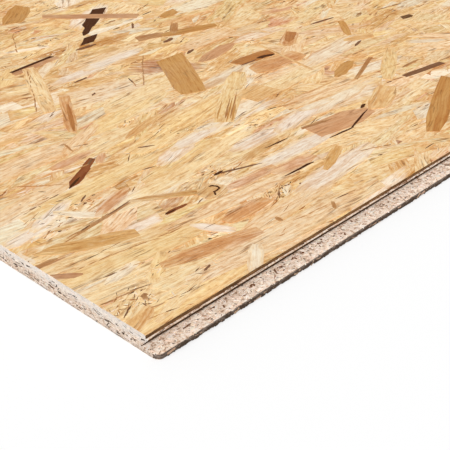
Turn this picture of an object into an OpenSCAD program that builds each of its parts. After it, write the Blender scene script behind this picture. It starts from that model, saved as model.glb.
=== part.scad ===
// Oriented strand board panel with joint profiles milled on its two long edges.
// Millimetres. X runs along the strands, Y across the panel, Z up from the underside.
// The origin is at the middle of the underside of the bounding box.

/* [Panel] */
// Length along the strands; both short ends are sawn square
panel_length = 2440; // [1200:10:2800]
// Width of the pressed blank, out to the tips of both edge profiles
blank_width = 1220; // [500:5:1250]
// Thickness
panel_thickness = 18; // [15:1:25]

/* [Grooved edge] */
// Height of the square top corner above the ledge
top_step_height = 3.2; // [2:0.1:4]
// Width of the ledge below the top corner
ledge_width = 2.6; // [1:0.1:4]
// Height of the square front of the ledge
ledge_land = 0.6; // [0.3:0.1:1.5]
// Reach of the groove behind the top corner
groove_reach = 5.5; // [3:0.1:8]
// Height of the square root at the back of the groove
root_height = 0.9; // [0.5:0.1:2]
// Thickness of the lip below the groove
lip_thickness = 4.3; // [3:0.1:6]
// Reach of the lip past the top corner
lip_reach = 13.5; // [8:0.1:18]
// Radius of the lip's upper front edge
nose_radius = 0.8; // [0.2:0.1:2]
// Radius of the lip's two corners, seen from above
lip_corner_radius = 6; // [1:0.5:7.5]

/* [Tongued edge] */
// Clearance between the tongue and the groove of the next panel
joint_clearance = 0.3; // [0.1:0.05:0.4]
// Gap left in front of the next panel's lip
lip_end_gap = 1; // [0.5:0.1:2]

/* [Hidden] */
tongue_reach = groove_reach - joint_clearance;
cover_width = blank_width - lip_reach - tongue_reach;
// Places across the panel
lip_front = -blank_width / 2;
groove_line = lip_front + lip_reach;
groove_root = groove_line + groove_reach;
ledge_front = groove_line - ledge_width;
tongue_line = groove_line + cover_width;
tongue_tip = tongue_line + tongue_reach;
tongue_neck = tongue_line - ledge_width - joint_clearance;
lap_back = tongue_line - lip_reach - lip_end_gap;
// Heights above the underside
root_top = lip_thickness + root_height;
ledge_top = panel_thickness - top_step_height;
ledge_foot = ledge_top - ledge_land;
lap_top = lip_thickness + joint_clearance;
// Overrun of the cutting shapes past the faces they cut
overrun = 1;
$fn = 64;

// Grooved edge from the lip's underside up to the top corner, as places across and heights
grooved_edge = [
    [lip_front, 0],
    [lip_front, lip_thickness],
    [groove_root, lip_thickness],
    [groove_root, root_top],
    [ledge_front, ledge_foot],
    [ledge_front, ledge_top],
    [groove_line, ledge_top],
    [groove_line, panel_thickness]
];

// Tongued edge from the top corner down, shaped to seat in the groove of the next panel
tongued_edge = [
    [tongue_line, panel_thickness],
    [tongue_line, ledge_top + joint_clearance],
    [tongue_neck, ledge_top + joint_clearance],
    [tongue_neck, ledge_foot],
    [tongue_tip, root_top],
    [tongue_tip, lap_top],
    [lap_back, lap_top],
    [lap_back, 0]
];

// What a radius takes off a square edge along Z; the material is on the +X and +Y sides
module edge_waste(radius, height) {
    difference() {
        translate([-overrun, -overrun, 0])
        cube([radius + overrun, radius + overrun, height]);
        translate([radius, radius, -overrun])
        cylinder(r = radius, h = height + 2 * overrun);
    }
}

module blank() {
    translate([-panel_length / 2, 0, 0])
    rotate([90, 0, 90])
    linear_extrude(panel_length)
    polygon(concat(grooved_edge, tongued_edge));
}

module lip_corner_waste() {
    translate([-panel_length / 2, lip_front, -overrun])
    edge_waste(lip_corner_radius, lip_thickness + 2 * overrun);
}

module nose_waste() {
    translate([panel_length / 2 + overrun, lip_front, lip_thickness])
    rotate([0, -90, 0])
    mirror([1, 0, 0])
    edge_waste(nose_radius, panel_length + 2 * overrun);
}

module osb_panel() {
    color("#d9b27c")
    difference() {
        blank();
        lip_corner_waste();
        mirror([1, 0, 0]) lip_corner_waste();
        nose_waste();
    }
}

osb_panel();
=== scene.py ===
import math

import bmesh
import bpy
import numpy as np
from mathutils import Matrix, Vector


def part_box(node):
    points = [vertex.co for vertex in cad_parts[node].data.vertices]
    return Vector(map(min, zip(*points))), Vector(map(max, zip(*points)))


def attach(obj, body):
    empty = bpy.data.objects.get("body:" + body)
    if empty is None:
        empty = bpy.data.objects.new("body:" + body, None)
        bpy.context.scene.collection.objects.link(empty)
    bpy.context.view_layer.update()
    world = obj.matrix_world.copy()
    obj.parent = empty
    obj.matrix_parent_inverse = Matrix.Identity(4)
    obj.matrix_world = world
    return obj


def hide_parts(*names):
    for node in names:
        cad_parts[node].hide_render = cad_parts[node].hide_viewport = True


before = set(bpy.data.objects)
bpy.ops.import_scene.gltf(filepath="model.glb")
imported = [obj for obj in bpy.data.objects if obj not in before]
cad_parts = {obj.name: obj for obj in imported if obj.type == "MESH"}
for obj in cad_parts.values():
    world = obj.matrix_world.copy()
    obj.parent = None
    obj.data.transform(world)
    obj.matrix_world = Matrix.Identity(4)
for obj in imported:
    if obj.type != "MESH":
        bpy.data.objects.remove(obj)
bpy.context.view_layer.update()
panelLow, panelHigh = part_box("osb_panel")
print("panel box", tuple(panelLow), tuple(panelHigh))

mm = 0.001
scene = bpy.context.scene


def hexToLinear(code):
    channels = [int(code[i:i + 2], 16) / 255 for i in (1, 3, 5)]
    linear = [c / 12.92 if c <= 0.04045 else ((c + 0.055) / 1.055) ** 2.4 for c in channels]
    return (*linear, 1.0)


# Settings may be an operation alone. Inputs go by their order, name or number, and take a value, a hex colour,
# a socket or a node, for its output in use
def addNode(tree, kind, settings=None, *placed, **inputs):
    node = tree.nodes.new("ShaderNode" + kind)
    if isinstance(settings, str):
        settings = {"operation": settings}
    for name, value in (settings or {}).items():
        if name == "stops":  # places and colours of a colour ramp
            while len(node.color_ramp.elements) < len(value):
                node.color_ramp.elements.new(0.5)
            for element, (place, colour) in zip(node.color_ramp.elements, value):
                element.position = place
                element.color = hexToLinear(colour) if isinstance(colour, str) else (colour, colour, colour, 1)
        else:
            setattr(node, name, value)
    named = {int(n[1:]) if n[0] == "i" else n.replace("_", " "): value for n, value in inputs.items()}
    for key, value in (*enumerate(placed), *named.items()):
        if isinstance(value, bpy.types.Node):
            value = next(o for o in value.outputs if o.enabled)
        if isinstance(value, bpy.types.NodeSocket):
            tree.links.new(value, node.inputs[key])
        else:
            node.inputs[key].default_value = hexToLinear(value) if isinstance(value, str) else value
    return node


blended = {"data_type": "RGBA"}
multiplied = {"data_type": "RGBA", "blend_type": "MULTIPLY"}


# Empties a node tree and gives a function that adds to it
def emptyTree(owner):
    owner.use_nodes = True
    owner.node_tree.nodes.clear()
    return lambda *plain, **named: addNode(owner.node_tree, *plain, **named)


def newMaterial(name):
    material = bpy.data.materials.new(name)
    return material, emptyTree(material)


# Noise with so many features to the metre along each axis
def stretchedNoise(add, place, scale, **settings):
    stretched = add("VectorMath", "MULTIPLY", place, scale)
    return add("TexNoise", Vector=stretched, Scale=1.0, **settings)


# Ends a material of dry wood: hardly any shine, and relief from a height
def mattWood(add, colour, roughness, height, strength, distance):
    bump = add("Bump", Strength=strength, Distance=distance, Height=height)
    shader = add("BsdfPrincipled", Base_Color=colour, Roughness=roughness, Specular_IOR_Level=0.06,
                 Normal=bump, IOR=1.5)
    add("OutputMaterial", Surface=shader)


# 1 where the background is seen directly, in a mirror or through glass
def seenRay(add):
    path = add("LightPath")
    seen = path.outputs["Is Camera Ray"]
    for ray in ("Is Glossy Ray", "Is Transmission Ray"):
        seen = add("Math", "MAXIMUM", seen, path.outputs[ray])
    return seen


# Sizes of the milled long edges in mm, as in the part's source
edgeProfile = {
    "thickness": 18.0,
    "topStep": 3.2,  # square corner above the ledge
    "ledge": 2.6,
    "ledgeLand": 0.6,
    # the inner strip of the ledge is painted shade, where the corner above would shade it
    "shadeStrip": 0.6,  # inner part of the ledge, browned with the corner above it
    "grooveReach": 5.5,
    "root": 0.9,
    "lip": 4.3,
    "lipReach": 13.5,
    "noseRadius": 0.8,
    "lipCorner": 6.0,
    "clearance": 0.3,
    "lipGap": 1.0,
    "skin": 0.75,  # the loose-edged strands of the upper face stand in this depth
    "underSkin": 0.45,  # and those of the underside in this
}
p = edgeProfile
lipFront = panelLow.y / mm
grooveLine = lipFront + p["lipReach"]
grooveRoot = grooveLine + p["grooveReach"]
ledgeFront = grooveLine - p["ledge"]
tongueTip = panelHigh.y / mm
tongueLine = tongueTip - p["grooveReach"] + p["clearance"]
tongueNeck = tongueLine - p["ledge"] - p["clearance"]
lapBack = tongueLine - p["lipReach"] - p["lipGap"]
endLow, endHigh = panelLow.x / mm, panelHigh.x / mm
ledgeTop = p["thickness"] - p["topStep"]
ledgeFoot = ledgeTop - p["ledgeLand"]
rootTop = p["lip"] + p["root"]
lapTop, neckTop = p["lip"] + p["clearance"], ledgeTop + p["clearance"]
faceHeight = p["thickness"] - p["skin"]

# Colours of single strands, from sapwood to bark
palette = {
    "cream": "#fff4dd",
    "honey": "#ffe8b9",
    "straw": "#fde1a8",
    "blush": "#fde3bd",
    "golden": "#e8be84",
    "rose": "#e4b490",
    "amber": "#cd9854",
    "ember": "#daa06c",
    "sienna": "#bb7c42",
    "fawn": "#d6a27a",
    "ochre": "#dcae6c",
    "clay": "#c39270",
    "toffee": "#b17c4a",
    "cocoa": "#7d573e",
    "brick": "#8c4d29",
    "bark": "#502e15",
    "milk": "#fff4e6",
    "white": "#fff4e8",  # torn grain on the cut edges
    "shell": "#f5dfcb",
    "husk": "#bfa28c",
    "smoke": "#594a3f",
}


# A flat strip of so many lengths, one unit long, wide and thick, with its top at 0
def stripTemplate(rows):
    bm = bmesh.new()
    bmesh.ops.create_grid(bm, x_segments=rows, y_segments=1, size=0.5)
    made = bmesh.ops.extrude_face_region(bm, geom=bm.faces[:], use_keep_orig=True)
    low = [v for v in made["geom"] if isinstance(v, bmesh.types.BMVert)]
    bmesh.ops.translate(bm, verts=low, vec=(0, 0, -1))
    bmesh.ops.recalc_face_normals(bm, faces=bm.faces[:])
    bm.verts.index_update()
    places = np.array([v.co[:] for v in bm.verts])
    faces = [[v.index for v in f.verts] for f in bm.faces]
    bm.free()
    return places, faces


# What all strips have in common
stripShape = {
    "tintSpread": 0.06,  # of the logarithm of a strand's brightness
    "hueSpread": 0.02,  # and of each of its three colours
    "pointedTips": (0.03, 0.5),  # share of the width left at a pointed end
    "slant": 0.55,  # spread of the slope of the ends
    "slantWidth": 22,  # mm; the ends of broader strips slant no further
    "darkTint": 0.22,  # darker strands than this are slivers
    "darkWidth": 7,  # mm at most
    "crispRange": (0.5, 1.0),  # how sharp a sharp outline is
    "listedCrisp": 0.3,  # outline of a listed strand, where its colour gives none
    "listedSpread": 0.03,
    "listedSlant": 0.3,
    "clearAbove": 0.46,  # splinters keep off listed strands with a sharper outline
    "rowShift": 0.03,  # share of the length by which a row strays
    "swayShare": 0.7,  # share of the wander that moves a row sideways
    "seedRange": 60,
    "capBack": (0.02, 0.16),  # mm; no two cut ends stand in one plane
    "capSeed": 11,
    "mapMargin": 0.004,  # share of the flat map left free at each side
}
# How sharp the outline of a listed strand is
crispTints = {
    "straw": 0.45, "ember": 0.48, "golden": 0.5, "rose": 0.5, "ochre": 0.55, "clay": 0.7, "toffee": 0.7,
    "fawn": 0.8, "amber": 0.85, "sienna": 0.9, "brick": 0.95, "cocoa": 0.95, "bark": 1.0,
}


def drawTints(rng, shares, count, spread=stripShape["tintSpread"]):
    names = list(shares)
    share = np.array([shares[n] for n in names], float)
    kind = rng.choice(len(names), count, p=share / share.sum())
    colours = np.array([hexToLinear(palette[n])[:3] for n in names])[kind]
    brightness = np.exp(rng.normal(0, spread, count))[:, None]
    return colours * brightness * np.exp(rng.normal(0, stripShape["hueSpread"], (count, 3)))


def scatterStrands(rng, spec, low, high):
    count = spec["count"]
    mean, spread, least, most = spec["length"]
    median, wide, thin, broad = spec["width"]
    turn = np.radians(rng.normal(0, spec["turn"], count))
    stray = rng.random(count) < spec["strays"]
    side = np.where(rng.random(count) < 0.5, -1, 1)
    turn = np.where(stray, side * np.radians(rng.uniform(*spec["strayTurn"], count)), turn)
    tips = np.where(rng.random((2, count)) < spec["pointed"],
                    rng.uniform(*stripShape["pointedTips"], (2, count)), 1)
    tint = drawTints(rng, spec["shares"], count)
    width = np.clip(median * np.exp(rng.normal(0, wide, count)), thin, broad)
    dark = tint.mean(1) < stripShape["darkTint"]
    x, y = rng.uniform(low[0], high[0], count), rng.uniform(low[1], high[1], count)
    if "cells" in spec:  # one strand in each cell of a grid, so that no gap is left
        across, up = spec["cells"]
        cell = rng.permutation(count) % (across * up)
        x = low[0] + (cell % across + rng.random(count)) / across * (high[0] - low[0])
        y = low[1] + (cell // across + rng.random(count)) / up * (high[1] - low[1])
    return {
        "x": x,
        "y": y,
        "length": np.clip(rng.normal(mean, spread, count), least, most),
        "width": np.where(dark, np.minimum(width, stripShape["darkWidth"]), width),
        "turn": turn,
        "lift": np.sort(rng.uniform(*spec["lift"], count)),
        "tint": tint,
        "tips": tips,
        "slant": rng.normal(0, stripShape["slant"], (2, count)),
        "crisp": np.where(rng.random(count) < spec["crisp"], rng.uniform(*stripShape["crispRange"], count), 0),
    }


# Strands set down one by one: place, turn, length, width, colour and, for some, how far each end narrows
# and slants
def placedStrands(rng, listed, origin, lift, usualTips):
    count = len(listed)
    x, y, turn, length, width = np.array([s[:5] for s in listed], float).T
    tint = np.array([hexToLinear(palette[s[5]])[:3] for s in listed])
    tint *= np.exp(rng.normal(0, stripShape["listedSpread"], count))[:, None]
    slant = [s[7] if len(s) > 7 else rng.normal(0, stripShape["listedSlant"], 2) for s in listed]
    return {
        "x": x + origin[0],
        "y": y + origin[1],
        "length": length,
        "width": width,
        "turn": np.radians(turn),
        "lift": np.linspace(*lift, count),
        "tint": tint,
        "tips": np.array([s[6] if len(s) > 6 else usualTips for s in listed], float).T,
        "slant": np.array(slant).T,
        "crisp": np.array([crispTints.get(s[5], stripShape["listedCrisp"]) for s in listed]),
    }


# A thin crack is a wandering row of short tears that overlap
tornCrack = {
    "under": 2,  # mm; wider ones stay whole
    "step": 12,  # mm from tear to tear
    "stray": 0.7,  # mm sideways from one tear to the next
    "turn": 5,  # degrees
    "length": (0.6, 1.7),  # shares of the step
    "width": (0.5, 1.1),  # shares of the crack's width
    "tips": (0.15, 0.15),
    "paler": "toffee",  # colour of about half the tears
}


def tornRow(rng, listed):
    found = []
    step = tornCrack["step"]
    for strand in listed:
        x, y, turn, length, width, tint = strand[:6]
        parts = round(length / step) if width < tornCrack["under"] else 1
        if parts < 2:
            found.append(strand)
            continue
        c, s = math.cos(math.radians(turn)), math.sin(math.radians(turn))
        v = 0
        for k in range(parts):
            u = ((k + 0.5) / parts - 0.5) * length
            v += rng.normal(0, tornCrack["stray"])
            found.append((x + c * u - s * v, y + s * u + c * v, turn + rng.normal(0, tornCrack["turn"]),
                          step * rng.uniform(*tornCrack["length"]), width * rng.uniform(*tornCrack["width"]),
                          rng.choice((tint, tornCrack["paler"])), tornCrack["tips"]))
    return found


def keepSome(strands, keep):
    return {k: v[..., keep] if v.ndim == 1 or k in ("tips", "slant") else v[keep] for k, v in strands.items()}


# Drops what lies on the sharply outlined strands of a list
def clearOf(strands, listed):
    free = np.ones(len(strands["x"]), bool)
    for k in np.flatnonzero(listed["crisp"] > stripShape["clearAbove"]):
        c, s = math.cos(listed["turn"][k]), math.sin(listed["turn"][k])
        dx, dy = strands["x"] - listed["x"][k], strands["y"] - listed["y"][k]
        along, across = np.abs(c * dx + s * dy), np.abs(c * dy - s * dx)
        free &= (along >= listed["length"][k] / 2) | (across >= listed["width"][k] / 2)
    return keepSome(strands, free)


# Points and faces of a layer of strips on a flat sheet, in mm
def stripLayer(rng, spec, strands, rows):
    base, faces = stripTemplate(rows)
    count = len(strands["x"])
    along, across, depth = base.T
    row = np.rint((along + 0.5) * rows).astype(int)
    shift = rng.normal(0, stripShape["rowShift"], (count, rows + 1))
    slant = np.zeros((count, rows + 1))
    slant[:, 0], slant[:, -1] = strands["slant"]
    narrow = 1 + rng.normal(0, spec["wander"], (count, rows + 1))
    narrow[:, 0] *= strands["tips"][0]
    narrow[:, -1] *= strands["tips"][1]
    sway = rng.normal(0, spec["wander"] * stripShape["swayShare"], (count, rows + 1))
    wave = rng.normal(0, spec["wave"], (count, rows + 1))
    tilt = np.clip(rng.normal(0, spec["tilt"], count), -2 * spec["tilt"], 2 * spec["tilt"])[:, None]
    cup = np.clip(rng.normal(0, spec["cup"], count), -2 * spec["cup"], 2 * spec["cup"])[:, None]
    length, width = strands["length"][:, None], strands["width"][:, None]
    side = across * narrow[:, row] + sway[:, row]
    u = (along + shift[:, row]) * length + slant[:, row] * side * np.minimum(width, stripShape["slantWidth"])
    v = side * width
    h = strands["lift"][:, None] + tilt * along * 2 + cup * across * 2 + wave[:, row] + depth * spec["thick"]
    c, s = np.cos(strands["turn"])[:, None], np.sin(strands["turn"])[:, None]
    flat = np.stack([strands["x"][:, None] + c * u - s * v, strands["y"][:, None] + s * u + c * v, h], -1)
    seed = rng.uniform(0, stripShape["seedRange"], (count, 1)) + 0 * u
    edge = np.stack([across * 2 + 0 * u, along * 2 + 0 * u, strands["crisp"][:, None] + 0 * u], -1)
    step = len(base)
    return {
        "flat": flat.reshape(-1, 3),
        "loops": [[i + k * step for i in f] for k in range(count) for f in faces],
        "tint": np.repeat(np.c_[strands["tint"], np.ones(count)], step, axis=0),
        "grain": np.stack([u * mm, v * mm, seed], -1).reshape(-1, 3),
        "rim": edge.reshape(-1, 3),
    }


def addPiece(mesh, materials):
    for material in materials:
        mesh.materials.append(material)
    piece = bpy.data.objects.new(mesh.name, mesh)
    scene.collection.objects.link(piece)
    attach(piece, "root")
    return piece


# Filled holes come in no fixed order; taken by place, faces are the same each run
def byPlace(face):
    return [round(c, 6) for c in face.calc_center_median()]


# One mesh from several layers on one sheet, trimmed to its outline, with a flat map for baking
def makePiece(name, layers, sheet, outline, materials):
    flat = np.concatenate([l["flat"] for l in layers])
    loops, start = [], 0
    for layer in layers:
        loops += [[i + start for i in f] for f in layer["loops"]]
        start += len(layer["flat"])
    axes = np.array([sheet["along"], sheet["across"], sheet["out"]], float)
    places = (flat @ axes + np.array(sheet["origin"], float)) * mm
    mesh = bpy.data.meshes.new(name)
    mesh.from_pydata(places.tolist(), [], loops)
    for key, kind, field in (("tint", "FLOAT_COLOR", "color"), ("grain", "FLOAT_VECTOR", "vector"),
                             ("rim", "FLOAT_VECTOR", "vector")):
        values = np.concatenate([l[key] for l in layers]).astype(np.float32)
        mesh.attributes.new(key, kind, "POINT").data.foreach_set(field, values.ravel())
    bm = bmesh.new()
    bm.from_mesh(mesh)
    chance = np.random.default_rng(stripShape["capSeed"])
    for place, normal in outline:
        cut = bmesh.ops.bisect_plane(bm, geom=bm.verts[:] + bm.edges[:] + bm.faces[:], dist=1e-7,
                                     plane_co=Vector(place) * mm, plane_no=normal, clear_outer=True)
        rim = [e for e in cut["geom_cut"] if isinstance(e, bmesh.types.BMEdge) and e.is_valid]
        capped = bmesh.ops.holes_fill(bm, edges=[e for e in rim if e.is_boundary], sides=0)
        for face in sorted(capped["faces"], key=byPlace):  # sawn across the ends, milled along the sides
            face.normal_update()
            if face.normal.dot(Vector(normal)) < 0:
                face.normal_flip()
            # cut sides of strands take the painted-shade edge material
            face.material_index = min(len(materials) - 1, 1 if abs(normal[0]) > abs(normal[1]) else 2)
            back = Vector(normal) * chance.uniform(*stripShape["capBack"]) * mm
            for vert in face.verts:
                vert.co -= back
    bmesh.ops.delete(bm, geom=[v for v in bm.verts if not v.link_faces], context="VERTS")
    for k, face in enumerate(sorted(bm.faces, key=byPlace)):
        face.index = k
    bm.faces.sort()
    bm.to_mesh(mesh)
    bm.free()
    corner = np.empty(len(mesh.vertices) * 3)
    mesh.vertices.foreach_get("co", corner)
    sheetPlace = (corner.reshape(-1, 3) / mm - np.array(sheet["origin"], float)) @ axes.T
    low, high = sheetPlace.min(0), sheetPlace.max(0)
    margin = stripShape["mapMargin"]
    spot = margin + (1 - 2 * margin) * ((sheetPlace - low) / np.maximum(high - low, 1e-6))[:, :2]
    index = np.empty(len(mesh.loops), dtype=np.int32)
    mesh.loops.foreach_get("vertex_index", index)
    mesh.uv_layers.new(name="OFBake").data.foreach_set("uv", spot[index].astype(np.float32).ravel())
    addPiece(mesh, materials)
    print(name, sum(len(f.vertices) - 2 for f in mesh.polygons), "triangles",
          "depth", round(low[2], 3), round(high[2], 3))


# Pine and aspen strands, flaked, coated with resin and hot-pressed: dry and matt, straight grain along
# each strand, pressed so flat that most outlines melt into the next strand, with fine cracks along the grain
def strandMaterial():
    material, add = newMaterial("pressedStrandWood")
    tint = add("Attribute", {"attribute_name": "tint"})
    grain = add("Attribute", {"attribute_name": "grain"}).outputs["Vector"]
    rim = add("Attribute", {"attribute_name": "rim"}).outputs["Vector"]
    place = add("TexCoord").outputs["Object"]
    seed = add("SeparateXYZ", Vector=grain)
    lot = add("Math", "MULTIPLY", seed.outputs["Z"], 3.71)
    lot = add("Math", "FRACT", lot)
    # the grain wanders by about 5 mm over 70 mm
    warp = stretchedNoise(add, grain, (14, 55, 1), Detail=1.0)
    drift = add("MapRange", Value=warp, To_Min=-0.0065, To_Max=0.0065)
    push = add("CombineXYZ", Y=drift)
    line = add("VectorMath", "ADD", grain, push)
    # fibre lines 1.6 mm apart and 40 mm long, coarser than real fibre so that they show
    fine = stretchedNoise(add, line, (26, 620, 1), Detail=3.0, Roughness=0.65)
    fineMask = add("MapRange", Value=fine, From_Min=0.38, From_Max=0.66)
    # growth rings cut flat, about 5 mm apart, strong on some strands and hardly there on others
    ring = stretchedNoise(add, line, (5, 210, 1), Detail=1.5, Roughness=0.5)
    ringMask = add("MapRange", Value=ring, From_Min=0.48, From_Max=0.62)
    ringPower = add("MapRange", Value=lot, From_Min=0.45, From_Max=1.0, To_Min=0.05, To_Max=0.6)
    # the common tone of the face: resin and heartwood stains some 70 and 20 mm across
    stain = stretchedNoise(add, place, (9, 24, 20), Detail=3.0, Roughness=0.6)
    common = add("ValToRGB", {"stops": [
        (0.30, "#e8bb86"), (0.42, "#f3cd96"), (0.50, "#fadba6"), (0.60, "#fde6be"), (0.72, "#fff5e0")]},
        Fac=stain)
    flushScale = add("VectorMath", "MULTIPLY_ADD", place, (7, 15, 12), (5.3, 1.7, 0))
    flush = add("TexNoise", Vector=flushScale, Scale=1.0, Detail=2.0)
    flushMask = add("MapRange", Value=flush, From_Min=0.50, From_Max=0.68, To_Max=0.55)
    rosy = add("Mix", multiplied, flushMask, i6=common, i7="#f9dcc6")
    # a strand's own colour fades to the common tone at its sides and, in fine fingers, at its ends
    part = add("SeparateXYZ", Vector=rim)
    aside = add("Math", "ABSOLUTE", part.outputs["X"])
    inside = add("MapRange", Value=aside, From_Min=1.0, From_Max=0.0, To_Max=1.7)
    endwise = add("Math", "ABSOLUTE", part.outputs["Y"])
    before = add("MapRange", Value=endwise, From_Min=1.0, From_Max=0.0, To_Max=1.9)
    least = add("Math", "MINIMUM", inside, before)
    fingers = add("MapRange", Value=fine, From_Min=0.3, From_Max=0.7, To_Min=-0.55, To_Max=0.55)
    ragged = add("Math", "ADD", least, fingers)
    own = add("MapRange", {"interpolation_type": "SMOOTHSTEP"}, Value=ragged, From_Min=0.0,
              From_Max=0.75, To_Max=0.84)
    own = add("Math", "MAXIMUM", own, part.outputs["Z"])
    toned = add("Mix", blended, own, i6=rosy, i7=tint)
    # cracks along the grain, 1 mm wide and up to 40 mm long
    crack = stretchedNoise(add, line, (11, 120, 1), Detail=2.0, Roughness=0.45)
    gap = add("Math", "SUBTRACT", crack, 0.5)
    gap = add("Math", "ABSOLUTE", gap)
    thin = add("MapRange", Value=gap, From_Min=0.03, From_Max=0.0)
    patch = stretchedNoise(add, line, (34, 60, 7), Detail=1.0)
    patchMask = add("MapRange", Value=patch, From_Min=0.52, From_Max=0.66)
    crackMask = add("Math", "MULTIPLY", thin, patchMask)
    ringAmount = add("Math", "MULTIPLY", ringMask, ringPower)
    ringed = add("Mix", multiplied, ringAmount, i6=toned, i7="#dcb384")
    # pale sapwood shows less of its fibre
    parts = add("SeparateColor", Color=tint)
    dense = add("MapRange", Value=parts.outputs["Blue"], From_Min=0.55, From_Max=0.8, To_Min=1.0,
                To_Max=0.7)
    fineAmount = add("Math", "MULTIPLY", fineMask, 0.44)
    fineAmount = add("Math", "MULTIPLY", fineAmount, dense)
    lined = add("Mix", multiplied, fineAmount, i6=ringed, i7="#d0a67a")
    whole = add("MapRange", Value=part.outputs["Z"], To_Min=0.8, To_Max=0.2)
    crackAmount = add("Math", "MULTIPLY", crackMask, whole)
    colour = add("Mix", multiplied, crackAmount, i6=lined, i7="#8a5f38")
    # torn fibre in tufts of 3 by 11 mm, over the whole face
    tuft = stretchedNoise(add, line, (92, 330, 1), Detail=3.0, Roughness=0.7)
    tuftTone = add("ValToRGB", {"stops": [
        (0.34, "#d3ad84"), (0.45, "#f7e9d8"), (0.56, "#ffffff")]}, Fac=tuft)
    tuftAmount = add("MapRange", Value=part.outputs["Z"], To_Min=0.75, To_Max=0.35)
    tuftAmount = add("Math", "MULTIPLY", tuftAmount, dense)
    colour = add("Mix", multiplied, tuftAmount, i6=colour, i7=tuftTone)
    # tips of the tufts are broken pale
    paleTips = add("MapRange", Value=tuft, From_Min=0.54, From_Max=0.70, To_Max=0.5)
    softness = add("MapRange", Value=part.outputs["Z"], From_Max=0.8, To_Min=1.0, To_Max=0.0)
    paleAmount = add("Math", "MULTIPLY", paleTips, softness)
    colour = add("Mix", blended, paleAmount, i6=colour, i7="#fff3d6")
    # relief: raised fibre and tufts, sunk cracks
    raised = add("Math", "MULTIPLY_ADD", tuft, 1.2, fine)
    sunk = add("Math", "MULTIPLY_ADD", crackMask, -0.9, raised)
    rough = add("MapRange", Value=fine, To_Min=0.6, To_Max=0.85)
    mattWood(add, colour, rough, height=sunk, strength=0.9, distance=0.0006)
    return material


# Sawn and milled core: strands cut across, pale and matt, in layers under 1 mm thick and torn grains of
# 1 to 2 mm, with small dark voids between them
def coreMaterial():
    material, add = newMaterial("sawnStrandCore")
    place = add("TexCoord").outputs["Object"]
    layers = stretchedNoise(add, place, (150, 150, 1400), Detail=2.0)
    grains = stretchedNoise(add, place, (440, 520, 800), Detail=4.0, Roughness=0.75)
    both = add("Mix", i0=0.3, i2=grains, i3=layers)
    tone = add("ValToRGB", {"stops": [
        (0.36, "#86664f"), (0.43, "#d8b89e"), (0.49, "#f6e0cc"), (0.57, "#fff2e4"), (0.66, "#fffaf3")]},
        Fac=both)
    voids = stretchedNoise(add, place, (230, 260, 700), Detail=3.0, Roughness=0.65)
    voidMask = add("MapRange", Value=voids, From_Min=0.60, From_Max=0.65, To_Max=0.85)
    holed = add("Mix", blended, voidMask, i6=tone, i7="#4c382a")
    wide = add("TexNoise", Vector=place, Scale=38.0, Detail=2.0)
    wideTone = add("ValToRGB", {"stops": [
        (0.35, "#e6d2bf"), (0.5, "#fbf3ea"), (0.65, "#ffffff")]}, Fac=wide)
    colour = add("Mix", multiplied, 0.35, i6=holed, i7=wideTone)
    # the sawn ends are paler in their upper half, and a little greyer at the foot as painted contact shadow
    spot = add("SeparateXYZ", Vector=place)
    endwise = add("Math", "ABSOLUTE", spot.outputs["X"])
    atEnd = add("Math", "GREATER_THAN", endwise, (endHigh - 0.5) * mm)
    band = add("MapRange", Value=spot.outputs["Z"], From_Min=0.0, From_Max=p["thickness"] * mm)
    bandPower = add("ValToRGB", {"stops": [
        (0.0, 0.0), (0.40, 0.0), (0.72, 0.65), (1.0, 0.75)]}, Fac=band)
    palePower = add("Math", "MULTIPLY", atEnd, bandPower)
    colour = add("Mix", blended, palePower, i6=colour, i7="#fff8f0")
    footShadowPower = add("MapRange", Value=band, From_Min=0.26, From_Max=0.0, To_Max=0.9)
    footShadowPower = add("Math", "MULTIPLY", atEnd, footShadowPower)
    colour = add("Mix", multiplied, footShadowPower, i6=colour, i7="#dcd8d6")
    depth = add("Math", "MULTIPLY_ADD", voidMask, -0.7, both)
    mattWood(add, colour, 0.9, height=depth, strength=0.8, distance=0.0007)
    return material


# Upright faces of the joint, brown and streaked lengthwise: partly the cutter's scorch, mostly painted shade,
# since the lamp lights them; darkest inside the groove as painted groove shadow, greyer on the lip's front as
# painted shade
def shadedEdgeMaterial():
    material, add = newMaterial("milledEdgePaintedShade")
    place = add("TexCoord").outputs["Object"]
    streaks = stretchedNoise(add, place, (90, 400, 900), Detail=3.0, Roughness=0.6)
    # tones for the land (scorch and painted shade), the groove (painted groove shadow) and the lip's front
    # (painted shade)
    upper, middle, lower = (
        add("ValToRGB", {"stops": list(zip((0.30, 0.48, 0.66), tones))}, Fac=streaks)
        for tones in (("#4c341f", "#704f32", "#956e47"), ("#2e2015", "#4a3423", "#684b33"),
                      ("#453932", "#6d5e53", "#918074")))
    height = add("SeparateXYZ", Vector=place)
    grooveShadowMask = add("MapRange", Value=height.outputs["Z"], From_Min=(p["lip"] - 0.1) * mm,
                   From_Max=(p["lip"] + 0.2) * mm)
    onLand = add("MapRange", Value=height.outputs["Z"], From_Min=(ledgeFoot - 0.3) * mm,
                 From_Max=(ledgeFoot + 0.1) * mm)
    lowHalf = add("Mix", blended, grooveShadowMask, i6=lower, i7=middle)
    colour = add("Mix", blended, onLand, i6=lowHalf, i7=upper)
    mattWood(add, colour, 0.75, height=streaks, strength=0.5, distance=0.0004)
    return material


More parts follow.
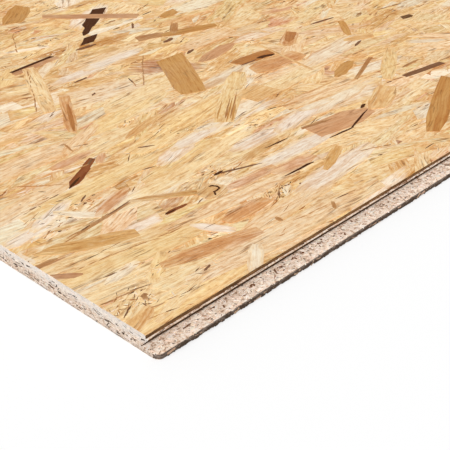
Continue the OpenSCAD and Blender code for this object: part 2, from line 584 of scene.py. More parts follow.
# Loose torn grains on the cut edges: the same wood, bleached where it is broken, quite matt
def grainMaterial():
    material, add = newMaterial("tornGrain")
    tint = add("Attribute", {"attribute_name": "tint"})
    grain = add("Attribute", {"attribute_name": "grain"}).outputs["Vector"]
    # fibre lines 0.6 mm apart
    fine = stretchedNoise(add, grain, (200, 1600, 1), Detail=2.0)
    tone = add("ValToRGB", {"stops": [(0.35, "#e0c6ae"), (0.6, "#ffffff")]}, Fac=fine)
    colour = add("Mix", multiplied, 0.6, i6=tint, i7=tone)
    mattWood(add, colour, 0.9, height=fine, strength=0.5, distance=0.0002)
    return material


strandWood = strandMaterial()
sawnCore = coreMaterial()
shadedMilledWood = shadedEdgeMaterial()
faceMaterials = [strandWood, sawnCore, shadedMilledWood]

# The two faces: a bed of broad strands, then the surface strands, most of them along the panel
faceBed = {
    "count": 2640,
    "cells": (40, 66),
    "length": (124, 18, 90, 170),  # mean, spread, least, most
    "width": (38, 0.2, 28, 60),  # median, spread of its logarithm, least, most
    "turn": 12,  # degrees off the panel's length
    "strays": 0.1,  # share that lies across
    "strayTurn": (28, 75),
    "pointed": 0.3,
    "lift": (0.02, 0.10),  # mm from the lowest to the highest
    "tilt": 0.01,  # mm up at one end
    "cup": 0.005,  # mm up at one side
    "wave": 0.004,
    "wander": 0.05,  # share of the width that the sides stray
    "thick": 0.45,
    "crisp": 0.05,  # share with sharp outlines
    "shares": {"honey": 30, "straw": 30, "golden": 20, "rose": 12, "amber": 8},
}
faceStrands = {
    "count": 4400,
    "length": (106, 28, 45, 165),
    "width": (20, 0.48, 5, 46),
    "turn": 13,
    "strays": 0.15,
    "strayTurn": (25, 70),
    "pointed": 0.55,
    "lift": (0.12, 0.36),
    "tilt": 0.045,
    "cup": 0.02,
    "wave": 0.02,
    "wander": 0.12,
    "thick": 0.45,
    "crisp": 0.05,
    "shares": {"cream": 19, "honey": 33, "straw": 20, "blush": 15, "golden": 8, "rose": 4,
               "amber": 1.0, "ember": 0.5, "clay": 0.4, "toffee": 0.3, "cocoa": 0.1},
}
# Strands of heartwood and bark that show as brown marks, lying on top
faceAccents = {
    **faceStrands,
    "count": 250,
    "length": (78, 28, 30, 140),
    "width": (15, 0.42, 5, 34),
    "turn": 22,
    "strays": 0.3,
    "lift": (0.50, 0.56),
    "tilt": 0.015,
    "cup": 0.01,
    "wave": 0.01,
    "wander": 0.06,
    "crisp": 1.0,
    "shares": {"amber": 26, "ember": 22, "rose": 12, "fawn": 14, "toffee": 10, "sienna": 6, "clay": 4,
               "brick": 2, "cocoa": 2, "bark": 2},
}
# Strands at the near corner, in mm from its top: place, turn, length, width, colour and, where it isn't the
# usual one, the narrowing of the ends
cornerStrands = [
    (70, 38, -3, 150, 24, "honey", (0.7, 0.5)),
    (165, 158, 4, 110, 24, "honey"),
    (215, 181, 6, 120, 18, "straw"),
    (290, 150, 3, 120, 24, "honey"),
    (430, 160, 3, 110, 24, "cream"),
    (400, 290, 5, 100, 24, "cream"),
    (250, 300, 8, 130, 26, "straw"),
    (60, 14, 2, 176, 28, "straw", (0.7, 0.5)),
    (190, 20, -3, 220, 28, "blush", (0.5, 0.6)),
    (40, 62, -6, 160, 26, "honey", (0.7, 0.4)),
    (230, 48, 3, 150, 24, "blush"),
    (60, 90, -7, 180, 28, "straw", (0.8, 0.5)),
    (60, 112, -10, 140, 18, "honey", (0.7, 0.4)),
    (195, 92, -4, 170, 20, "blush", (0.4, 0.5)),
    (310, 60, 5, 130, 26, "milk"),
    (310, 115, 0, 120, 22, "milk"),
    (130, 204, 2, 190, 24, "straw", (0.5, 0.4)),
    (60, 222, 6, 120, 22, "blush", (0.7, 0.5)),
    (255, 170, 8, 150, 20, "honey"),
    (275, 240, 10, 170, 36, "straw"),
    (105, 286, 0, 150, 32, "blush", (0.6, 0.5)),
    (180, 262, 6, 120, 24, "honey"),
    (330, 214, 10, 120, 24, "cream"),
    (440, 232, 4, 120, 30, "honey"),
    (540, 250, 6, 120, 30, "cream"),
    (440, 180, -4, 120, 26, "blush"),
    (300, 325, 4, 140, 28, "honey"),
    (52, 16, 16, 70, 12, "honey", (0.4, 0.6)),
    (12, 19, 22, 34, 16, "golden", (0.9, 0.3)),
    (24, 39, 24, 50, 20, "honey", (0.6, 0.5)),
    (68, 59, 38, 46, 14, "straw"),
    (134, 9, 40, 44, 14, "cream", (0.6, 0.6)),
    (45, 76, 8, 44, 11, "cream", (0.3, 0.5)),
    (222, 196, 15, 72, 21, "milk", (0.3, 0.4)),
    (260, 206, 6, 80, 18, "milk", (0.3, 0.3)),
    (292, 214, -5, 54, 10, "cream", (0.4, 0.4)),
    (28, 178, 5, 58, 15, "milk", (0.4, 0.5)),
    (58, 189, 19, 62, 15, "milk", (0.4, 0.4)),
    (78, 175, -52, 46, 10, "cream", (0.5, 0.6)),
    (424, 280, 30, 34, 20, "cream", (0.5, 0.7)),
    (140, 258, 2, 52, 12, "rose", (0.4, 0.5)),
    (108, 119, -4, 40, 16, "milk", (0.5, 0.8)),
    (146, 70, -58, 40, 12, "milk", (0.3, 0.7)),
    (325, 434, 4, 90, 20, "blush"),
    (285, 416, 2, 90, 20, "milk", (0.3, 0.4)),
    (336, 421, 0, 90, 20, "milk", (0.3, 0.3)),
    (455, 385, 4, 96, 28, "blush", (0.4, 0.7)),
    (306, 158, 1, 90, 21, "milk", (0.3, 0.3)),
    (366, 160, 9, 90, 22, "milk", (0.3, 0.3)),
    (404, 166, -7, 54, 12, "cream", (0.4, 0.4)),
    (510, 290, 30, 90, 24, "blush", (0.5, 0.9)),
    (114, 169, 19, 56, 14, "ember", (0.15, 0.3)),
    (88, 152, 7, 96, 3.6, "toffee", (0.2, 0.4)),
    (52, 131, -24, 92, 18, "ochre", (0.15, 0.7)),
    (158, 139, -31, 80, 10, "ochre", (0.3, 0.3)),
    (8, 106, -35, 30, 8, "clay", (1, 0.3)),
    (6, 132, -4, 28, 6, "toffee", (1, 0.4)),
    (127, 48, -12, 106, 19, "ember", (0.5, 0.6)),
    (187, 70, 2, 54, 18, "ember", (0.5, 0.7)),
    (250, 18, 50, 13, 4, "toffee", (0.3, 0.6)),
    (236, 107, -3, 64, 15, "rose", (0.4, 0.8)),
    (285, 139, 5, 66, 12, "golden", (0.4, 0.5)),
    (192, 117, 12, 30, 24, "golden"),
    (240, 264, 15, 66, 11, "golden", (0.2, 0.4)),
    (175, 288, 24, 70, 16, "blush"),
    (121, 226, 27, 42, 10, "brick", (0.1, 0.9)),
    (145, 240, 32, 28, 8, "brick", (0.9, 0.8)),
    (112, 221, 25, 22, 3, "bark", (0.3, 0.3)),
    (150, 243, 32, 14, 3, "cocoa", (0.3, 0.6)),
    (162, 241, 40, 22, 9, "rose"),
    (287, 95, -2, 54, 18, "rose"),
    (360, 330, 60, 108, 36, "amber", (0.85, 1.05), (-0.2, -0.9)),
    (438, 347, 10, 66, 18, "fawn", (0.3, 0.3)),
    (466, 275, -3, 78, 30, "ember", (0.6, 0.7)),
    (455, 304, -6, 58, 19, "sienna", (0.7, 0.7)),
    (530, 312, 31, 50, 20, "ember", (0.4, 0.9)),
    (536, 316, 31, 34, 13, "sienna", (0.4, 0.9)),
    (482, 277, 82, 106, 4, "golden", (1, 1)),
    (362, 252, 36, 132, 24, "straw", (0.9, 0.6)),
    (384, 234, 4, 44, 36, "golden", (0.9, 0.9)),
    (390, 122, -6, 84, 30, "fawn", (0.8, 0.4)),
    (369, 136, -12, 42, 5, "toffee", (0.8, 0.3)),
    (470, 125, 24, 58, 26, "golden", (0.6, 0.7)),
    (565, 137, -8, 64, 8, "cocoa", (0.9, 0.9)),
    (570, 158, 1, 34, 4, "toffee", (0.4, 0.4)),
    (552, 176, 34, 96, 18, "straw", (0.6, 0.6)),
    (521, 190, 23, 70, 5, "toffee", (0.9, 0.9)),
    (503, 205, 19, 50, 14, "amber", (0.3, 0.5)),
    (592, 252, -24, 44, 13, "golden", (0.5, 0.7)),
    (606, 322, -8, 40, 3.6, "cocoa", (0.3, 0.5)),
    (608, 286, 50, 52, 10, "amber", (0.6, 0.8)),
    (488, 484, 10, 30, 15, "amber", (0.6, 0.9)),
    (323, 78, 25, 56, 11, "ochre", (0.4, 0.6)),
    (503, 70, 27, 150, 22, "amber", (0.6, 0.8)),
    (425, 556, 38, 32, 17, "bark", (1, 1), (0, -0.6)),
    (397, 536, 38, 44, 17, "bark", (0.5, 1), (0, -0.5)),
    (375, 517, 38, 34, 9, "bark", (0.2, 0.9)),
    (356, 490, 40, 26, 14, "bark", (1, 1), (-1.1, -1.1)),
    (337, 474, -4, 30, 5, "cocoa", (0.3, 0.4)),
    (411, 551, -45, 134, 16, "clay", (0.8, 1)),
    (258, 472, 4, 74, 9, "clay", (1, 0.9)),
    (259, 479, 4, 70, 5, "bark", (0.8, 1)),
    (345, 625, 40, 60, 30, "amber", (0.7, 0.7)),
    (222, 418, 64, 122, 20, "honey", (0.8, 0.7)),
    (205, 345, 57, 92, 13, "ember", (0.6, 0.9)),
    (200, 334, 57, 62, 5, "sienna", (0.4, 0.5)),
    (416, 443, -16, 40, 16, "toffee", (0.9, 0.6)),
    (466, 423, -18, 84, 16, "amber", (0.6, 0.6)),
    (456, 442, 44, 36, 10, "toffee", (0.5, 0.8)),
    (352, 447, -8, 28, 14, "golden", (0.5, 0.8)),
]
# Thin dark lines at the same corner: cracks, bark slivers and a small knot
cornerCracks = [
    (24, 50, -10, 44, 1.6, "cocoa"),
    (48, 78, -8, 40, 1.6, "cocoa"),
    (10, 32, 30, 16, 1.6, "cocoa"),
    (34, 38, 55, 9, 4.2, "toffee", (1, 0.3)),
    (225, 24, -8, 40, 1.6, "toffee"),
    (275, 22, -6, 24, 1.6, "cocoa"),
    (40, 20, -5, 30, 1.4, "toffee"),
    (236, 72, 40, 22, 1.6, "cocoa"),
    (70, 212, 6, 40, 1.5, "cocoa"),
    (132, 240, 3, 30, 1.5, "cocoa"),
    (210, 227, -28, 18, 2.0, "cocoa"),
    (100, 193, 30, 12, 2.0, "cocoa"),
    (425, 262, 2, 30, 1.6, "toffee"),
    (345, 397, 4, 36, 1.6, "toffee"),
    (86, 154, 6, 74, 1.5, "cocoa", (0.2, 0.3)),
    (18, 147, -24, 22, 1.4, "cocoa"),
    (72, 98, -8, 108, 1.3, "toffee"),
    (146, 117, -2, 26, 4.2, "brick", (0.6, 0.3)),
    (138, 117, -2, 12, 2.4, "bark", (0.2, 0.4)),
    (197.5, 123.5, -18, 5, 1.8, "bark", (0.5, 0.9), (0, 0)),
    (200.0, 121.5, -56, 5, 2.2, "bark", (0.9, 0.9), (0, 0)),
    (200.5, 117.5, 79, 6.6, 2.2, "bark", (0.9, 0.9), (0, 0)),
    (198.0, 114.5, 14, 5.6, 1.9, "bark", (0.9, 0.9), (0, 0)),
    (194.0, 114.0, 0, 5.5, 1.7, "bark", (0.9, 0.9), (0, 0)),
    (191.0, 112.5, 56, 5, 1.9, "bark", (0.9, 0.9), (0, 0)),
    (189.5, 110.0, 63, 4, 1.7, "bark", (0.4, 0.9), (0, 0)),
    (221, 136, 8, 13, 2.8, "bark"),
    (243, 127, -20, 48, 2.4, "cocoa", (0.6, 0.2)),
    (282, 85, -2, 44, 2.8, "bark", (0.15, 0.3)),
    (306, 137, -3, 32, 2.0, "bark", (0.2, 0.2)),
    (88, 241, -40, 44, 1.4, "toffee", (0.5, 0.5)),
    (154, 281, 80, 18, 2.4, "toffee", (0.3, 0.5)),
    (97, 30, 12, 10, 2.6, "cocoa", (0.2, 0.6)),
    (197, 38, 80, 9, 4.0, "toffee", (0.5, 0.5)),
    (468, 296, -14, 24, 6.0, "bark"),
    (440, 298, -2, 26, 3.0, "cocoa"),
    (372, 104, -4, 36, 2.1, "bark", (0.2, 0.4)),
    (410, 111, 18, 52, 2.3, "bark", (0.5, 0.3)),
    (437, 127, 18, 12, 3.0, "bark", (0.3, 0.4)),
    (516, 142, -6, 28, 1.8, "cocoa"),
    (308, 355, 68, 20, 1.6, "bark"),
    (416, 372, 14, 15, 4.0, "cocoa", (0.3, 0.5)),
    (577, 241, 16, 22, 3.6, "cocoa", (0.2, 0.4)),
    (214, 418, 58, 112, 1.5, "toffee"),
    (340, 372, 48, 86, 1.4, "toffee"),
    (270, 402, 4, 20, 3.0, "cocoa", (0.4, 0.4)),
    (422, 417, 8, 20, 5.0, "cocoa", (0.4, 0.4)),
    (425, 486, 50, 18, 3.0, "cocoa", (0.4, 0.4)),
    (255, 362, 20, 7, 2.4, "cocoa", (0.4, 0.4)),
    (378, 190, -14, 40, 1.4, "bark"),
    (331, 229, 37, 52, 2.0, "toffee", (0.4, 0.2)),
    (343, 231, 37, 70, 2.0, "toffee", (0.4, 0.2)),
    (328, 217, 37, 40, 2.0, "amber", (0.4, 0.2)),
    (331, 226, 37, 60, 2.0, "amber", (0.4, 0.2)),
    (324, 234, 37, 46, 2.0, "amber", (0.4, 0.2)),
    (340, 328, 60, 52, 1.6, "toffee"),
    (285, 548, 60, 62, 1.8, "toffee", (0.4, 0.4)),
]
# Cracks along the sides of strands, and nests of torn grain
faceSplinters = {
    "cracks": 900,
    "crackLength": (8, 42),  # mm
    "crackShare": 0.7,  # of the strand's length at most
    "crackSide": 0.48,  # share of the strand's width from its middle
    "crackWidth": (0.5, 1.2),
    "tearStep": 13,  # a crack breaks into tears so far apart
    "tear": (5, 19),  # mm long
    "tearStray": (1.5, 0.6),  # mm along and across
    "tearTurn": 0.10,  # radians
    "nests": 110,
    "nestSpread": (13, 6.5),  # mm along and across
    "nestSlivers": 20,
    "nestLength": (2, 8),
    "nestWidth": (0.4, 1.1),
    "nestLean": 0.8,  # radians either way
    "nestTurn": 0.45,
    "tips": (0.03, 0.35),
    "slant": 0.5,
    "lift": (0.67, 0.70),
    "tilt": 0.01,
    "cup": 0.005,
    "wave": 0.005,
    "wander": 0.35,
    "thick": 0.45,
    "dark": {"toffee": 55, "cocoa": 35, "bark": 10},
    "darkSpread": 0.2,
    "mixed": {"cream": 26, "honey": 20, "golden": 14, "toffee": 16, "cocoa": 16, "bark": 8},
    "mixedSpread": 0.1,
}
cornerNests = [
    (12, 36), (24, 30), (40, 45), (16, 40), (28, 38), (34, 33), (20, 46), (92, 182), (222, 68),
    (318, 186), (62, 187), (232, 74), (330, 182), (70, 62), (64, 54), (92, 32), (224, 142), (226, 140),
]


def splinterStrands(rng, spec, strands, nests):
    found = []
    total = len(strands["x"])
    top = rng.choice(np.arange(total // 3, total), spec["cracks"], replace=False)  # the lowest third is covered
    for k in top:
        long = min(rng.uniform(*spec["crackLength"]), strands["length"][k] * spec["crackShare"])
        u = rng.uniform(-0.5, 0.5) * (strands["length"][k] - long)
        v = rng.choice((-spec["crackSide"], spec["crackSide"])) * strands["width"][k]
        c, s = math.cos(strands["turn"][k]), math.sin(strands["turn"][k])
        parts = max(1, round(long / spec["tearStep"]))
        for j in range(parts):
            du = u + ((j + 0.5) / parts - 0.5) * long + rng.normal(0, spec["tearStray"][0])
            dv = v + rng.normal(0, spec["tearStray"][1])
            found.append((strands["x"][k] + c * du - s * dv, strands["y"][k] + s * du + c * dv,
                          rng.uniform(*spec["tear"]), rng.uniform(*spec["crackWidth"]),
                          strands["turn"][k] + rng.normal(0, spec["tearTurn"]), 1))
    for x, y in nests:
        lean = rng.uniform(-spec["nestLean"], spec["nestLean"])
        for _ in range(spec["nestSlivers"]):
            dx, dy = rng.normal(0, spec["nestSpread"][0]), rng.normal(0, spec["nestSpread"][1])
            found.append((x + dx, y + dy, rng.uniform(*spec["nestLength"]), rng.uniform(*spec["nestWidth"]),
                          lean + rng.normal(0, spec["nestTurn"]), 0))
    x, y, length, width, turn, dark = np.array(found, float).T
    count = len(found)
    tint = np.where(dark[:, None] > 0, drawTints(rng, spec["dark"], count, spec["darkSpread"]),
                    drawTints(rng, spec["mixed"], count, spec["mixedSpread"]))
    return {
        "x": x, "y": y, "length": length, "width": width, "turn": turn,
        "lift": rng.uniform(*spec["lift"], count), "tint": tint,
        "tips": rng.uniform(*spec["tips"], (2, count)), "slant": rng.normal(0, spec["slant"], (2, count)),
        "crisp": np.ones(count),
    }


def levelSheet(height):
    return {"origin": (0, 0, height), "along": (1, 0, 0), "across": (0, 1, 0), "out": (0, 0, 1)}


facePlan = {
    "seed": 7,
    "past": (20, 15),  # mm that strands are laid past the ends and the sides, before the trim
    "listedPart": (720, 660),  # mm from the near corner; no brown strands are scattered there
    "listedLift": (0.57, 0.66),
    "listedTips": (0.5, 0.5),
    "crackLift": (0.70, 0.72),
    "crackTips": (0.3, 0.3),
}
rng = np.random.default_rng(facePlan["seed"])
pastEnd, pastSide = facePlan["past"]
faceLow, faceHigh = (endLow - pastEnd, grooveLine - pastSide), (endHigh + pastEnd, tongueLine + pastSide)
topSheet = levelSheet(faceHeight)
endPlanes = [((endLow, 0, 0), (-1, 0, 0)), ((endHigh, 0, 0), (1, 0, 0))]
topOutline = endPlanes + [((0, grooveLine, 0), (0, -1, 0)), ((0, tongueLine, 0), (0, 1, 0))]
nearCorner = (endLow, grooveLine)
bed = scatterStrands(rng, faceBed, faceLow, faceHigh)
strands = scatterStrands(rng, faceStrands, faceLow, faceHigh)
listed = placedStrands(rng, cornerStrands, nearCorner, facePlan["listedLift"], facePlan["listedTips"])
calm = {**faceStrands, "tilt": 0.0, "cup": 0.0, "wave": 0.0, "wander": 0.035}
accents = scatterStrands(rng, faceAccents, faceLow, faceHigh)
inList = ((accents["x"] < nearCorner[0] + facePlan["listedPart"][0])
          & (accents["y"] < nearCorner[1] + facePlan["listedPart"][1]))
accents = keepSome(accents, ~inList)
makePiece("topStrands", [
    stripLayer(rng, faceBed, bed, 1),
    stripLayer(rng, faceStrands, strands, 3),
    stripLayer(rng, faceAccents, accents, 3),
    stripLayer(rng, calm, listed, 4),
], topSheet, topOutline, faceMaterials)
nests = [(x + nearCorner[0], y + nearCorner[1]) for x, y in cornerNests]
nests += [(rng.uniform(faceLow[0], faceHigh[0]), rng.uniform(faceLow[1], faceHigh[1]))
          for _ in range(faceSplinters["nests"])]
slivers = clearOf(splinterStrands(rng, faceSplinters, strands, nests), listed)
cracks = placedStrands(rng, tornRow(rng, cornerCracks), nearCorner, facePlan["crackLift"],
                       facePlan["crackTips"])
makePiece("topSplinters", [
    stripLayer(rng, faceSplinters, slivers, 2),
    stripLayer(rng, {**calm, "wander": 0.15}, cracks, 4),
], topSheet, topOutline, faceMaterials)

# The underside, to the lip's front and its two eased corners
underStrands = {**calm, "count": 3800, "lift": (0.12, 0.34), "tilt": 0.01, "wander": 0.12}
underAccents = {**faceAccents, "lift": (0.35, 0.37)}
bottomSheet = {"origin": (0, 0, p["underSkin"]), "along": (1, 0, 0), "across": (0, -1, 0), "out": (0, 0, -1)}
bottomOutline = endPlanes + [((0, lipFront, 0), (0, -1, 0)), ((0, lapBack, 0), (0, 1, 0))]
for end, way in ((endLow, -1), (endHigh, 1)):
    for angle in (22.5, 45, 67.5):
        c, s = math.cos(math.radians(angle)), math.sin(math.radians(angle))
        r = p["lipCorner"]
        bottomOutline.append(((end - way * r + way * r * c, lipFront + r - r * s, 0), (way * c, -s, 0)))
bottomLow, bottomHigh = (endLow - pastEnd, -lapBack - pastSide), (endHigh + pastEnd, -lipFront + pastSide)
makePiece("bottomStrands", [
    stripLayer(rng, spec, scatterStrands(rng, spec, bottomLow, bottomHigh), rows)
    for spec, rows in ((faceBed, 1), (underStrands, 2), (underAccents, 2))
], bottomSheet, bottomOutline, faceMaterials)


# Core and edges
def buildBody(sawn, milled):
    bm = bmesh.new()
    section = [
        (lipFront, p["underSkin"]), (lipFront, p["lip"]), (grooveRoot, p["lip"]), (grooveRoot, rootTop),
        (ledgeFront, ledgeFoot), (ledgeFront, ledgeTop), (grooveLine - p["shadeStrip"], ledgeTop),
        (grooveLine, ledgeTop), (grooveLine, faceHeight), (tongueLine, faceHeight), (tongueLine, neckTop),
        (tongueNeck, neckTop), (tongueNeck, ledgeFoot), (tongueTip, rootTop), (tongueTip, lapTop),
        (lapBack, lapTop), (lapBack, p["underSkin"]),
    ]
    verts = [bm.verts.new((endLow * mm, y * mm, z * mm)) for y, z in section]
    start = bm.faces.new(verts)
    made = bmesh.ops.extrude_face_region(bm, geom=[start], use_keep_orig=True)
    far = [v for v in made["geom"] if isinstance(v, bmesh.types.BMVert)]
    bmesh.ops.translate(bm, verts=far, vec=((endHigh - endLow) * mm, 0, 0))
    bmesh.ops.recalc_face_normals(bm, faces=bm.faces[:])
    tiny = 1e-6
    lipOnly = (ledgeFront - 4) * mm  # in front of this there is only the lip
    corners = [e for e in bm.edges if all(abs(v.co.y - lipFront * mm) < tiny for v in e.verts)
               and abs(e.verts[0].co.x - e.verts[1].co.x) < tiny]
    bmesh.ops.bevel(bm, geom=corners, offset=p["lipCorner"] * mm, affect="EDGES", segments=6,
                    profile=0.5, material=-1)
    nose = [e for e in bm.edges
            if all(abs(v.co.z - p["lip"] * mm) < tiny and v.co.y < lipOnly for v in e.verts)
            and any(f.normal.z < 0.5 and f.normal.y < -0.1 for f in e.link_faces)]
    bmesh.ops.bevel(bm, geom=nose, offset=p["noseRadius"] * mm, affect="EDGES", segments=2, profile=0.5,
                    material=-1)
    bm.normal_update()
    # faces hidden under the strands, the shaded strip of the ledge, the upright faces and the lip's front take
    # the painted-shade material
    for face in bm.faces:
        middle = face.calc_center_median()
        hidden = face.normal.z > 0.9 and middle.z > (ledgeTop + 1) * mm
        front = face.normal.y < -0.1 and middle.y < lipOnly
        inner = face.normal.z > 0.9 and abs(middle.y - (grooveLine - p["shadeStrip"] / 2) * mm) < 0.1 * mm
        upright = abs(face.normal.y) > (0.4 if middle.y < 0 else 0.9)  # the tongue's slope stays pale
        face.material_index = int(hidden or inner or upright or front)
    mesh = bpy.data.meshes.new("panelBody")
    bm.to_mesh(mesh)
    bm.free()
    return addPiece(mesh, [sawn, milled])


# Torn grains that stand up from the lip, the ledge, the lip's front and the sawn ends
lipGrain = {
    "count": 5200,
    "length": (3.4, 1.4, 1.2, 8),  # mm
    "width": (1.3, 0.35, 0.6, 3),
    "lift": (0.02, 0.30),
    "tilt": 0.10,
    "cup": 0.05,
    "wave": 0.02,
    "wander": 0.18,
    "thick": 0.5,
    "pointed": 0.5,
    "crisp": 1.0,
    "turn": 40,
    "strays": 0.25,
    "strayTurn": (30, 90),
    "shares": {"white": 47, "shell": 36, "husk": 12, "cocoa": 5},
    "fromEnd": 2,  # mm kept free
    "fromFront": 1.4,
    "fromRoot": 0.6,
    "cornerReach": 5,  # how far grains go into the rounded corners
    # dark grains under the overhang are painted shade
    "shadeReach": 2.2,  # the lip under the overhang has more dark grains
    "shadeDarkShare": 0.25,
}
ledgeGrain = {
    **lipGrain,
    "count": 420,
    "length": (9, 4, 3, 20),
    "width": (0.5, 0.3, 0.3, 1.0),
    "lift": (0.02, 0.12),
    "tilt": 0.02,
    "cup": 0.01,
    "turn": 5,
    "strays": 0.05,
    "shares": {"cocoa": 40, "smoke": 25, "toffee": 25, "husk": 10},
    "fromEnd": 3,
    "fromFront": 0.1,
    "fromRoot": 0.3,
    "past": 0.25,  # trimmed so far in front of the ledge
}
# grains on the lip's front are mostly dark grey: real torn fibre, coloured as painted shade, standing proud of
# the front
frontGrain = {
    **lipGrain,
    "count": 2200,
    "length": (5, 2, 2, 11),
    "lift": (0.10, 1.00),
    "thick": 1.3,
    "turn": 14,
    "strays": 0.1,
    "shares": {"husk": 14, "smoke": 86},
    "fromEnd": 9,
    "fromFloor": 0.4,
    "fromTop": 1.2,
    "proud": 0.1,  # the lift counts from so far behind the front
    "trim": 0.1,
}
endGrain = {
    **lipGrain,
    "count": 2600,
    "width": (0.9, 0.35, 0.4, 1.8),
    "lift": (0.02, 0.14),
    "tilt": 0.04,
    "cup": 0.02,
    "turn": 8,
    "strays": 0.08,
    "margin": 0.6,
    "fromSide": 3,
    "trim": 0.15,
    "paleAbove": 11,  # mm up; torn grains are pale there
    "darkMiddle": 8.5,  # around this height more of them are dark
    "darkReach": 5.5,
    "darkShare": 0.29,
}


def rightOf(z):  # the section's grooved side at a height
    slope = np.interp(z, [rootTop, ledgeFoot], [grooveRoot, ledgeFront])
    return np.where(z < p["lip"], lipFront + p["lipCorner"], np.where(z < rootTop, grooveRoot, np.where(
        z < ledgeFoot, slope, np.where(z < ledgeTop, ledgeFront, grooveLine))))


def leftOf(z):  # the section's tongued side at a height
    slope = np.interp(z, [rootTop, ledgeFoot], [tongueTip, tongueNeck])
    return np.where(z < lapTop, lapBack, np.where(z < rootTop, tongueTip, np.where(
        z < ledgeFoot, slope, np.where(z < neckTop, tongueNeck, tongueLine))))


grainWood = grainMaterial()
lipGrains = scatterStrands(rng, lipGrain, (endLow + lipGrain["fromEnd"], lipFront + lipGrain["fromFront"]),
                           (endHigh - lipGrain["fromEnd"], grooveRoot - lipGrain["fromRoot"]))
inward = (np.maximum(np.abs(lipGrains["x"]) - (endHigh - p["lipCorner"]), 0)
          + np.maximum(lipFront + p["lipCorner"] - lipGrains["y"], 0))
lipGrains = keepSome(lipGrains, inward < lipGrain["cornerReach"])
# painted shade: some grains on the lip under the overhang turn dark
inner = ((np.abs(lipGrains["y"] - grooveLine) < lipGrain["shadeReach"])
         & (rng.random(len(lipGrains["y"])) < lipGrain["shadeDarkShare"]))
lipGrains["tint"] = np.where(inner[:, None], np.array(hexToLinear(palette["cocoa"])[:3]), lipGrains["tint"])
ledgeGrains = scatterStrands(
    rng, ledgeGrain, (endLow + ledgeGrain["fromEnd"], ledgeFront + ledgeGrain["fromFront"]),
    (endHigh - ledgeGrain["fromEnd"], grooveLine - ledgeGrain["fromRoot"]))
makePiece("ledgeGrains", [stripLayer(rng, ledgeGrain, ledgeGrains, 1)], levelSheet(ledgeTop),
          [((0, ledgeFront - ledgeGrain["past"], 0), (0, -1, 0)), ((0, grooveLine, 0), (0, 1, 0))], [grainWood])
frontSheet = {"origin": (0, lipFront + frontGrain["proud"], 0), "along": (1, 0, 0), "across": (0, 0, 1),
              "out": (0, -1, 0)}
frontGrains = scatterStrands(rng, frontGrain, (endLow + frontGrain["fromEnd"], frontGrain["fromFloor"]),
                             (endHigh - frontGrain["fromEnd"], p["lip"] - frontGrain["fromTop"]))
lipOutline = [(place, normal) for place, normal in bottomOutline if normal[1] <= 0]
lipOutline.append(((0, grooveRoot, 0), (0, 1, 0)))
makePiece("lipGrains", [stripLayer(rng, lipGrain, lipGrains, 1)], levelSheet(p["lip"]), lipOutline, [grainWood])
makePiece("noseGrains", [stripLayer(rng, frontGrain, frontGrains, 1)], frontSheet,
          [((0, 0, frontGrain["trim"]), (0, 0, -1)), ((0, 0, p["lip"]), (0, 0, 1))], [grainWood])
pale, dark = (np.array(hexToLinear(palette[n])[:3]) for n in ("white", "smoke"))
for name, end, along in (("lowEndGrains", endLow, -1), ("highEndGrains", endHigh, 1)):
    endSheet = {"origin": (end, 0, 0), "along": (0, along, 0), "across": (0, 0, 1), "out": (along, 0, 0)}
    grains = scatterStrands(rng, endGrain, (-tongueTip, endGrain["margin"]),
                            (tongueTip, p["thickness"] - endGrain["margin"]))
    y, z = grains["x"] * along, grains["y"]
    above = z > endGrain["paleAbove"]
    grains["tint"] = np.where(above[:, None], np.maximum(grains["tint"], pale), grains["tint"])
    middle = ((np.abs(z - endGrain["darkMiddle"]) < endGrain["darkReach"])
              & (rng.random(len(z)) < endGrain["darkShare"]))
    grains["tint"] = np.where(middle[:, None], dark, grains["tint"])
    grains = keepSome(grains, (y > rightOf(z) + endGrain["fromSide"]) & (y < leftOf(z) - endGrain["fromSide"]))
    makePiece(name, [stripLayer(rng, endGrain, grains, 1)], endSheet,
              [((0, 0, endGrain["trim"]), (0, 0, -1)), ((0, 0, p["thickness"] - endGrain["trim"]), (0, 0, 1))],
              [grainWood])

body = buildBody(sawnCore, shadedMilledWood)
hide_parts("osb_panel")
print("panelBody made")

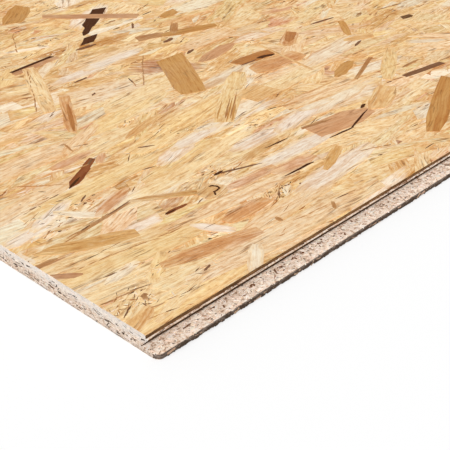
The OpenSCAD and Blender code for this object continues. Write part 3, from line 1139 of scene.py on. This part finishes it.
# Floor, light and camera
stageSet = {
    "floorSize": 60.0,
    "floorBounce": 0.25,
    "keyWay": (-0.58, -0.50, 0.64),  # towards the lamp: left and front of the photograph
    "keyStrength": 3.18,
    "keySoftness": 12,
    "skyLevel": 0.35,
}
floorMesh = bpy.data.meshes.new("floor")
bm = bmesh.new()
bmesh.ops.create_grid(bm, x_segments=1, y_segments=1, size=stageSet["floorSize"] / 2)
bm.to_mesh(floorMesh)
bm.free()
floor = bpy.data.objects.new("floor", floorMesh)
scene.collection.objects.link(floor)
floorMaterial, add = newMaterial("whiteStudioFloor")
bounce = stageSet["floorBounce"]
shade = add("Mix", blended, seenRay(add), i6=(bounce, bounce, bounce, 1), i7="#ffffff")
matt = add("BsdfDiffuse", Color=shade)
add("OutputMaterial", Surface=matt)
floorMesh.materials.append(floorMaterial)

world = bpy.data.worlds.new("studio")
scene.world = world
add = emptyTree(world)
level = add("MapRange", Value=seenRay(add), To_Min=stageSet["skyLevel"], To_Max=1.0)
sky = add("Background", Color="#ffffff", Strength=level)
add("OutputWorld", Surface=sky)

lamp = bpy.data.lights.new("key", "SUN")
lamp.energy = stageSet["keyStrength"]
lamp.angle = math.radians(stageSet["keySoftness"])
key = bpy.data.objects.new("key", lamp)
key.rotation_euler = Vector(stageSet["keyWay"]).to_track_quat("Z", "Y").to_euler()
scene.collection.objects.link(key)

view = {
    "pixels": 450,
    "focal": 1039.4,  # pixels
    "yaw": 43.66,  # degrees from +X towards +Y
    "pitch": 31.77,  # degrees down
    "fromCorner": (-409.2, -473.6, 483.8),  # mm from the near top corner
    "sensor": 36,
    "clip": (0.02, 100),
}
lens = bpy.data.cameras.new("camera")
lens.sensor_width = view["sensor"]
lens.lens = view["focal"] * view["sensor"] / view["pixels"]
lens.clip_start, lens.clip_end = view["clip"]
camera = bpy.data.objects.new("camera", lens)
corner = Vector((endLow, grooveLine, p["thickness"]))
camera.location = (corner + Vector(view["fromCorner"])) * mm
yaw, pitch = math.radians(view["yaw"]), math.radians(view["pitch"])
look = Vector((math.cos(pitch) * math.cos(yaw), math.cos(pitch) * math.sin(yaw), -math.sin(pitch)))
camera.rotation_euler = look.to_track_quat("-Z", "Y").to_euler()
scene.collection.objects.link(camera)
scene.camera = camera
scene.view_settings.view_transform = "Standard"
print("stage, lamp and camera set")
